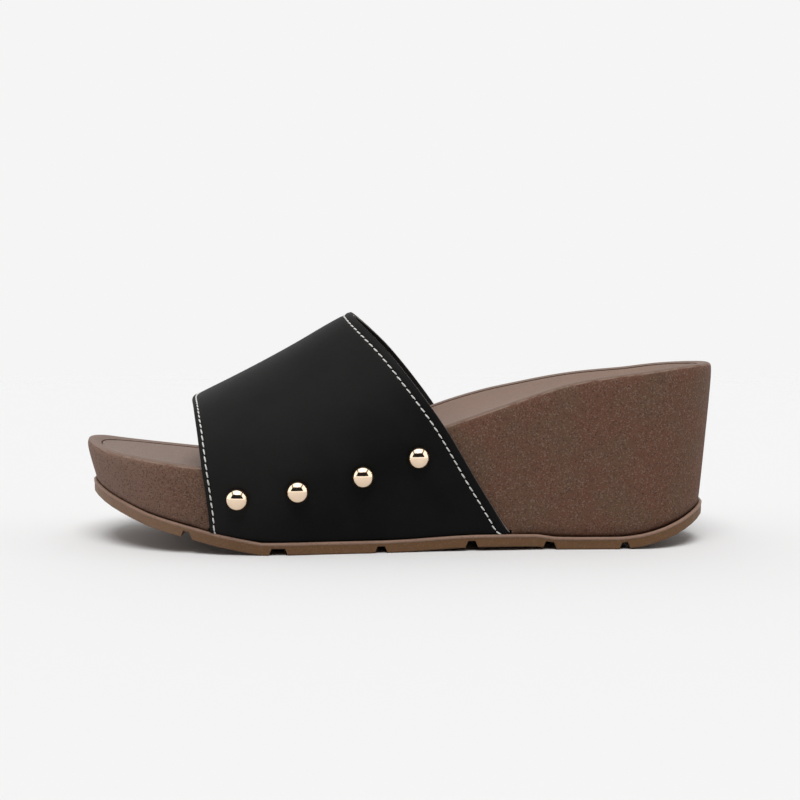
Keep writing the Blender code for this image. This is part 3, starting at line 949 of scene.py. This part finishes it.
def group(name, inputs, outputs):
    """An empty shader group with named inputs and outputs, given as name, kind and default."""
    tree = bpy.data.node_groups.new(name, "ShaderNodeTree")
    for label, kind, value in inputs:
        made = tree.interface.new_socket(label, in_out="INPUT", socket_type="NodeSocket" + kind)
        made.default_value = value
    for label, kind in outputs:
        tree.interface.new_socket(label, in_out="OUTPUT", socket_type="NodeSocket" + kind)
    source = add(tree, "NodeGroupInput")
    result = add(tree, "NodeGroupOutput")
    result.location.x = NODES_IN_ROW * NODE_GAP
    return tree, source.outputs, result


def use(tree, made, **inputs):
    """Adds a shader group to a material."""
    return add(tree, "ShaderNodeGroup", {"node_tree": made}, **inputs).outputs


def raised(tree, shader, height, distance, strength=1.0):
    """Lets a height show in a shader as relief."""
    bump = add(tree, "ShaderNodeBump", Height=height, Distance=distance, Strength=strength)
    fill(tree, shader, Normal=bump.outputs[0])


def rgba(value):
    """A colour with its alpha."""
    return (*value, 1.0)


# Grains, pits, pebbles and pores
GREY = rgba((0.5, 0.5, 0.5))
LUMP_SHARE = 0.5
PIT_SCALE = 0.28
PEBBLE_WARP = (0.9 * MM, 0.9 * MM, 0.9 * MM)
PORE_SHARE = 0.35


def grain_group():
    """Fine grains in three colours, with pits and a slow drift of tone."""
    if "Grains" in bpy.data.node_groups:
        return bpy.data.node_groups["Grains"]
    colours = [(label, "Color", GREY) for label in ("Base", "Light", "Dark", "Shade")]
    tree, source, result = group(
        "Grains",
        [("Size", "Float", 0.6 * MM), *colours, ("Drift", "Float", 0.6), ("Pits", "Float", 1.0)],
        [("Color", "Color"), ("Height", "Float")],
    )
    spot = where(tree)
    fine = sums(tree, "DIVIDE", 1.0, source["Size"])
    cells = add(tree, "ShaderNodeTexVoronoi", Vector=spot, Scale=fine)
    chance = chances(tree, cells)
    speck = noise(tree, spot, scale=fine, detail=2.0)
    slow = noise(tree, spot, scale=55.0)
    drift = rise(tree, slow, low=0.42, high=0.62)
    shade = sums(tree, "MULTIPLY", drift, source["Drift"])
    tone = blend(tree, shade, source["Base"], source["Shade"])
    pale = rise(tree, chance[0], low=0.70, high=0.95, top=0.6)
    tone = blend(tree, pale, tone, source["Light"])
    deep = rise(tree, chance[1], low=0.72, high=0.95, top=0.65)
    tone = blend(tree, deep, tone, source["Dark"])
    wide = sums(tree, "MULTIPLY", fine, PIT_SCALE)
    holes = add(tree, "ShaderNodeTexVoronoi", Vector=spot, Scale=wide)
    rare = rise(tree, chances(tree, holes)[0], low=0.6, high=0.7)
    near = rise(tree, holes.outputs["Distance"], low=0.24, high=0.10)
    pit = sums(tree, "MULTIPLY", near, rare)
    pit = sums(tree, "MULTIPLY", pit, source["Pits"])
    tone = blend(tree, pit, tone, source["Dark"])
    lumps = sums(tree, "MULTIPLY_ADD", chance[2], LUMP_SHARE, speck)
    fill(tree, result, Color=tone, Height=sums(tree, "SUBTRACT", lumps, pit))
    return tree


def pebble_group():
    """The soft pebbles and fine pores of smooth leather."""
    tree, source, result = group(
        "Pebbles", [("Size", "Float", 0.8 * MM)], [("Height", "Float"), ("Tone", "Float")]
    )
    spot = where(tree)
    fine = sums(tree, "DIVIDE", 1.0, source["Size"])
    warp = add(tree, "ShaderNodeTexNoise", Vector=spot, Scale=400.0, Detail=2.0)
    bent = vectors(tree, "MULTIPLY_ADD", warp.outputs["Color"], PEBBLE_WARP, spot)[0]
    smoothed = {"feature": "SMOOTH_F1"}
    cells = add(tree, "ShaderNodeTexVoronoi", smoothed, Vector=bent, Scale=fine, Smoothness=0.6)
    pores = noise(tree, spot, scale=3200.0)
    dome = sums(tree, "SUBTRACT", 1.0, cells.outputs["Distance"])
    height = sums(tree, "MULTIPLY_ADD", pores, PORE_SHARE, dome)
    fill(tree, result, Height=height, Tone=noise(tree, spot, scale=60.0))
    return tree


def edge_highlight_group():
    """Painted highlight: where a rounded upper edge is painted pale, in noisy patches, from how far the
    surface tilts up.
    """
    tree, source, result = group(
        "Edge highlight",
        [("Flattest", "Float", 0.9), ("Steepest", "Float", 0.35), ("Patches", "Float", 220.0)],
        [("Mask", "Float")],
    )
    level = tilt(tree)
    middle = sums(tree, "ADD", source["Flattest"], source["Steepest"])
    middle = sums(tree, "DIVIDE", middle, 2.0)
    above = rise(tree, level, source["Steepest"], middle)
    below = rise(tree, level, source["Flattest"], middle)
    patch = noise(tree, where(tree), source["Patches"])
    highlighted = rise(tree, patch, low=0.25, high=0.6)
    both = sums(tree, "MULTIPLY", above, below)
    fill(tree, result, Mask=sums(tree, "MULTIPLY", both, highlighted))
    return tree


def weave_group():
    """Plain weave, as the height of the yarns, with yarns that differ in tone."""
    tree, source, result = group(
        "Weave", [("Pitch", "Float", 0.7 * MM)], [("Height", "Float"), ("Tone", "Float")]
    )
    spot = where(tree)
    parts = split(tree, spot)
    turns = sums(tree, "DIVIDE", math.pi, source["Pitch"])
    across = sums(tree, "SINE", sums(tree, "MULTIPLY", parts[0], turns))
    up = sums(tree, "ADD", parts[1], parts[2])
    up = sums(tree, "SINE", sums(tree, "MULTIPLY", up, turns))
    both = sums(tree, "MULTIPLY", across, up)
    height = sums(tree, "MULTIPLY_ADD", both, 0.5, 0.5)
    fill(tree, result, Height=height, Tone=noise(tree, spot, scale=900.0))
    return tree


# Where the finishes change along the shoe, from and to
FOAM_TOE = (-60 * MM, -125 * MM)
COVER_TOE = (-20 * MM, -100 * MM)
COVER_HEEL = (-60 * MM, 30 * MM)
# Dark flecks beside and under the strap's front part: partly speckles, partly painted shade where the strap
# shades the insole
FLECKS_AND_SHADE_TOE = (-108 * MM, -84 * MM)
FLECKS_AND_SHADE_STRAP = (-10 * MM, -40 * MM)
RUBBER_TOE = (-50 * MM, -125 * MM)

# Painted sheen: where the leather is painted paler high up, as a height that falls towards the heel
SHEEN_HEIGHTS = (35 * MM, 85 * MM)
SHEEN_LEAN = -0.9

# How strongly parts of the finishes show, and the size of the insole's grain in the foam's
RIM_HIGHLIGHT = 0.7
COVER_GRAIN = 0.8
PATCHES = 0.2
ZIGZAG_LEAN = 0.6
TREAD_PAINTED_SHADE = 0.6
TREAD_DEPTH = 6.0
GRAIN_VEIL = 0.55


def foam_finish(settings):
    """Brown foam with pale and dark grains, a painted highlight along its rounded rim and one nick."""
    made, tree, shader = material("foam")
    spot = where(tree)
    toe = rise(tree, split(tree, spot)[0], *FOAM_TOE, top=0.75)
    grains = use(
        tree, grain_group(), Size=settings.grain_size,
        Base=blend(tree, toe, rgba(settings.foam), rgba(settings.foam_toe)),
        Shade=blend(tree, toe, rgba(settings.foam_shade), rgba(settings.foam_toe)),
        Light=rgba(settings.foam_light), Dark=rgba(settings.foam_dark),
    )
    covered = rise(tree, tilt(tree), low=0.72, high=0.9, top=0.85)
    # Painted highlight: the rim's rounding, where it tilts part way up, is painted pale.
    rim_highlight_mask = use(tree, edge_highlight_group())["Mask"]
    highlighted = sums(tree, "MULTIPLY", rim_highlight_mask, RIM_HIGHLIGHT)
    toned = blend(tree, highlighted, grains["Color"], rgba(settings.foam_rim_highlight))
    toned = blend(tree, covered, toned, rgba(settings.cover_toe))
    turned = add(
        tree, "ShaderNodeMapping", {"vector_type": "TEXTURE"},
        Vector=spot, Location=NICK, Rotation=(0, NICK_LEAN, 0), Scale=NICK_SIZE,
    )
    gap = vectors(tree, "LENGTH", turned.outputs[0])["Value"]
    nick = rise(tree, gap, low=1.0, high=0.7, top=0.85)
    toned = blend(tree, nick, toned, rgba(settings.foam_dark))
    fill(tree, shader, Base_Color=toned, Roughness=0.82, Specular_IOR_Level=0.25)
    raised(tree, shader, sums(tree, "SUBTRACT", grains["Height"], nick), 0.12 * MM, 0.7)
    return made


def cover_finish(settings):
    """The insole's short brown nap, with dark flecks near the strap that are partly speckles and partly
    painted shade.
    """
    made, tree, shader = material("insole cover")
    along = split(tree, where(tree))[0]
    toe = rise(tree, along, *COVER_TOE)
    base = blend(tree, toe, rgba(settings.cover), rgba(settings.cover_toe))
    # Dark flecks near the strap, partly painted shade where the strap shades the insole.
    flecks = sums(tree, "MULTIPLY", rise(tree, along, *FLECKS_AND_SHADE_TOE), rise(tree, along, *FLECKS_AND_SHADE_STRAP))
    grains = use(
        tree, grain_group(), Size=settings.grain_size * COVER_GRAIN, Base=base,
        Light=rgba(settings.cover_light), Dark=rgba(settings.cover_dark),
        Shade=rgba(settings.cover_toe), Pits=flecks,
    )
    heel = rise(tree, along, *COVER_HEEL, top=0.55)
    soft = blend(tree, heel, grains["Color"], base)
    fill(
        tree, shader, Base_Color=soft, Roughness=0.9, Specular_IOR_Level=0.2,
        Sheen_Weight=0.12, Sheen_Roughness=0.5,
    )
    raised(tree, shader, grains["Height"], 0.08 * MM, 0.6)
    return made


def rubber_finish(settings, name="rubber", bloom=None, lift=0.0):
    """Tan rubber with a pale bloom at the toe and a fine zigzag tread on its underside, whose lines are
    darkened as painted shade; for the bead, the bloom colour is a painted highlight laid all over by a lift
    of 1.
    """
    made, tree, shader = material(name)
    bloom = rgba(bloom or settings.rubber_light)
    dark = rgba(settings.rubber_dark)
    parts = split(tree, where(tree))
    toe = rise(tree, parts[0], *RUBBER_TOE, top=0.8)
    # A lift of 1 lays the bloom colour all over, which for the bead is a painted highlight.
    bloom_and_highlight = sums(tree, "MAXIMUM", toe, lift)
    base = blend(tree, bloom_and_highlight, rgba(settings.rubber), bloom)
    grains = use(
        tree, grain_group(), Size=0.5 * MM, Base=base, Light=bloom, Dark=dark, Shade=dark,
        Drift=0.3, Pits=0.4,
    )
    soft = blend(tree, GRAIN_VEIL, grains["Color"], base)
    zigzag = sums(tree, "PINGPONG", parts[1], settings.tread_pitch)
    lines = sums(tree, "MULTIPLY_ADD", zigzag, ZIGZAG_LEAN, parts[0])
    ridge = sums(tree, "PINGPONG", lines, settings.tread_pitch / 2)
    cut = rise(tree, ridge, settings.tread_width / 2, settings.tread_width / 4)
    under = rise(tree, tilt(tree, "True Normal"), low=-0.8, high=-0.9)
    cut = sums(tree, "MULTIPLY", cut, under)
    # Painted shade: the fine tread's lines, which are only relief, are darkened as if shaded.
    shaded = sums(tree, "MULTIPLY", cut, TREAD_PAINTED_SHADE)
    toned = blend(tree, shaded, soft, dark)
    fill(tree, shader, Base_Color=toned, Roughness=0.6, Specular_IOR_Level=0.35)
    deep = sums(tree, "MULTIPLY", cut, TREAD_DEPTH)
    raised(tree, shader, sums(tree, "SUBTRACT", grains["Height"], deep), 0.07 * MM, 0.7)
    return made


def bead_highlight_finish(settings):
    """The outsole's rubber, painted pale all along its bead as a highlight."""
    return rubber_finish(settings, "rubber bead", settings.bead, 1.0)


def leather_finish(settings):
    """Smooth black leather with random paler patches and a painted sheen that makes it paler high up in
    front of the instep.
    """
    made, tree, shader = material("leather")
    pebbles = use(tree, pebble_group(), Size=settings.grain)
    parts = split(tree, where(tree))
    height = sums(tree, "MULTIPLY_ADD", parts[0], SHEEN_LEAN, parts[2])
    # Painted sheen: the strap's upper part is painted paler, where light from above falls.
    painted_sheen = rise(tree, height, *SHEEN_HEIGHTS, top=0.85)
    patches = rise(tree, pebbles["Tone"], low=0.3, high=0.7)
    tone = sums(tree, "MULTIPLY_ADD", patches, PATCHES, painted_sheen)
    toned = blend(tree, tone, rgba(settings.leather), rgba(settings.leather_tone_and_sheen))
    rough = spread(tree, pebbles["Height"], low=0.4, high=1.3, first=0.68, last=0.60)
    fill(tree, shader, Base_Color=toned, Roughness=rough, Specular_IOR_Level=0.035)
    raised(tree, shader, pebbles["Height"], 0.05 * MM, 0.6)
    return made


def lining_finish(settings):
    """Dark woven lining."""
    made, tree, shader = material("lining")
    weave = use(tree, weave_group())
    toned = blend(tree, weave["Tone"], rgba(settings.leather), rgba(settings.lining))
    fill(tree, shader, Base_Color=toned, Roughness=0.75, Specular_IOR_Level=0.25)
    raised(tree, shader, weave["Height"], 0.06 * MM, 0.6)
    return made


def cut_edge_finish(settings):
    """The pale fibres of the lining's cut edge."""
    made, tree, shader = material("cut edge")
    pale, dark = rgba(settings.cut_edge), rgba(settings.cut_edge_dark)
    grains = use(tree, grain_group(), Size=0.3 * MM, Base=pale, Light=pale, Dark=dark, Shade=dark, Pits=0.3)
    fill(tree, shader, Base_Color=grains["Color"], Roughness=0.8)
    raised(tree, shader, grains["Height"], 0.05 * MM, 0.6)
    return made


def thread_finish(settings):
    """White thread with its plies, painted darker between them as shade."""
    made, tree, shader = material("thread")
    plies = add(
        tree, "ShaderNodeTexWave", {"bands_direction": "DIAGONAL"},
        Vector=where(tree), Scale=900.0, Distortion=1.5,
    ).outputs["Fac"]
    toned = blend(tree, plies, rgba(settings.thread_ply_shade), rgba(settings.thread))
    fill(tree, shader, Base_Color=toned, Roughness=0.7)
    raised(tree, shader, plies, 0.06 * MM, 0.8)
    return made


def metal_finish(settings):
    """Polished pale gold with a faint haze."""
    made, tree, shader = material("gold metal")
    haze = noise(tree, where(tree), scale=500.0)
    rough = spread(tree, haze, low=0.3, high=0.7, first=0.07, last=0.13)
    toned = blend(tree, haze, rgba(settings.metal), rgba(settings.metal_light))
    fill(tree, shader, Base_Color=toned, Roughness=rough, Metallic=1.0)
    return made


def floor_finish(settings):
    """A plain floor that fades out towards its rim."""
    made, tree, shader = material("floor")
    away = vectors(tree, "LENGTH", where(tree))["Value"]
    rim = settings.floor_radius
    fade = rise(tree, away, low=rim * 0.95, high=rim * 0.3)
    fill(tree, shader, Base_Color=rgba(settings.floor), Roughness=0.9, Specular_IOR_Level=0.0, Alpha=fade)
    return made


# The tent's pattern, laid out by the direction half way between a ray and the camera's side, so that a
# stud mirrors it upright
TO_FRONT = (0, -1, 0)
OPENING_BASE = 0.5
OPENING_TAPER = -0.43
SEAM_START = 0.16
SEAM_LEAN = -0.5
SEAM_DARK = 0.85


def light_tent(scene, settings):
    """A white tent of light: three panes with dark seams over a dark opening towards the front."""
    world = bpy.data.worlds.new("light tent")
    world.use_nodes = True
    scene.world = world
    tree = world.node_tree
    way = add(tree, "ShaderNodeTexCoord").outputs["Generated"]
    half = vectors(tree, "ADD", way, TO_FRONT)[0]
    half = vectors(tree, "NORMALIZE", half)[0]
    parts = split(tree, half)
    up = parts[2]
    aside = sums(tree, "ABSOLUTE", parts[0])
    reach = sums(tree, "MULTIPLY_ADD", up, OPENING_TAPER, OPENING_BASE)
    reach = sums(tree, "SUBTRACT", reach, aside)
    between = rise(tree, reach, low=-0.012, high=0.012)
    below = rise(tree, up, low=0.375, high=0.35)
    above = rise(tree, up, low=0.03, high=0.05)
    opening = sums(tree, "MULTIPLY", sums(tree, "MULTIPLY", between, below), above)
    apart = sums(tree, "MULTIPLY_ADD", up, SEAM_LEAN, aside)
    apart = sums(tree, "SUBTRACT", apart, SEAM_START)
    apart = sums(tree, "ABSOLUTE", apart)
    line = rise(tree, apart, low=0.075, high=0.04)
    seam = sums(tree, "MULTIPLY", line, rise(tree, up, low=0.30, high=0.35, top=SEAM_DARK))
    shut = sums(tree, "MAXIMUM", opening, seam)
    ground = rise(tree, split(tree, way)[2], low=0.02, high=-0.02)
    lit = blend(tree, ground, rgba(settings.tent), rgba(settings.ground))
    seen = blend(tree, shut, lit, rgba(settings.opening))
    path = add(tree, "ShaderNodeLightPath").outputs
    camera_ray = path["Is Camera Ray"]
    gain = sums(tree, "MULTIPLY_ADD", path["Is Glossy Ray"], settings.gleam, settings.tent_light)
    fill(
        tree, tree.nodes["Background"],
        Color=blend(tree, camera_ray, seen, rgba(settings.backdrop)),
        Strength=sums(tree, "MAXIMUM", camera_ray, gain),
    )


class MULE_PT_panel(bpy.types.Panel):
    bl_idname = "MULE_PT_panel"
    bl_label = "Wedge Mule"
    bl_space_type = "VIEW_3D"
    bl_region_type = "UI"
    bl_category = "Mule"

    def draw(self, context):
        for operator in OPERATORS:
            self.layout.operator(operator.bl_idname)


OPERATORS = (
    MULE_OT_stage,
    MULE_OT_wedge,
    MULE_OT_insole,
    MULE_OT_outsole,
    MULE_OT_strap,
    MULE_OT_stitches,
    MULE_OT_studs,
)
GROUPS = {
    "mule_sole": SoleSettings,
    "mule_strap": StrapSettings,
    "mule_stitch": StitchSettings,
    "mule_stud": StudSettings,
    "mule_stage": StageSettings,
}


def register():
    for made in (*GROUPS.values(), *OPERATORS, MULE_PT_panel):
        bpy.utils.register_class(made)
    for name, settings in GROUPS.items():
        setattr(bpy.types.Scene, name, PointerProperty(type=settings))


def unregister():
    for name in GROUPS:
        delattr(bpy.types.Scene, name)
    for made in (MULE_PT_panel, *reversed(OPERATORS), *GROUPS.values()):
        bpy.utils.unregister_class(made)


def main():
    register()
    bpy.ops.mule.stage()
    bpy.ops.mule.wedge()
    bpy.ops.mule.insole()
    bpy.ops.mule.outsole()
    bpy.ops.mule.strap()
    bpy.ops.mule.stitches()
    bpy.ops.mule.studs()


if __name__ == "__main__":
    main()
